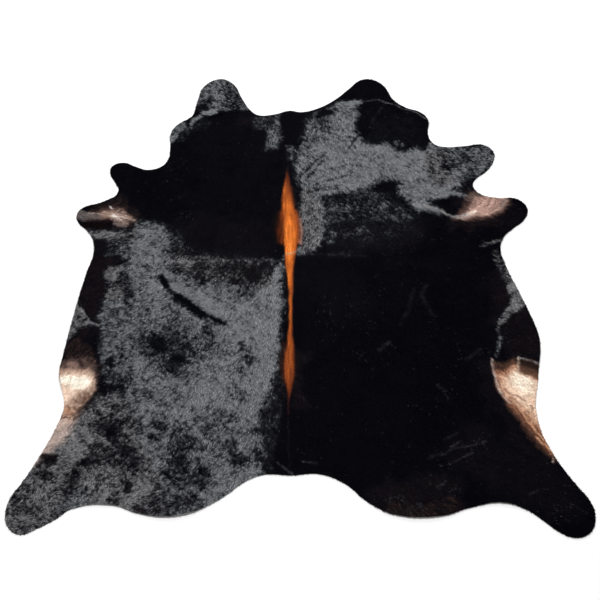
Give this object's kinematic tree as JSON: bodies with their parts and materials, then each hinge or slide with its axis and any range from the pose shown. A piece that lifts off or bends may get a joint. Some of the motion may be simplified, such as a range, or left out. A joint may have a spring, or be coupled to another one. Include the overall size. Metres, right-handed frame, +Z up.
{
  "type": "cowhide rug",
  "caption": "Whole cowhide rug lying flat: short glossy black coat with an orange stripe down the back and cream patches at the flanks, cut along the natural outline of the hide.",
  "frame": {"origin": "on the floor under the middle of the hide's bounding box", "axes": "+X to the right of a viewer at the tail end, +Y along the back towards the neck, +Z up from the floor to the hair side"},
  "size_m": [2.06, 2.2452, 0.0114],
  "materials": {
    "cowhide": "short, glossy, mostly black hair on tanned leather, with a suede underside"
  },
  "bodies": {
    "root": {"hide": "cowhide"}
  },
  "joints": []
}
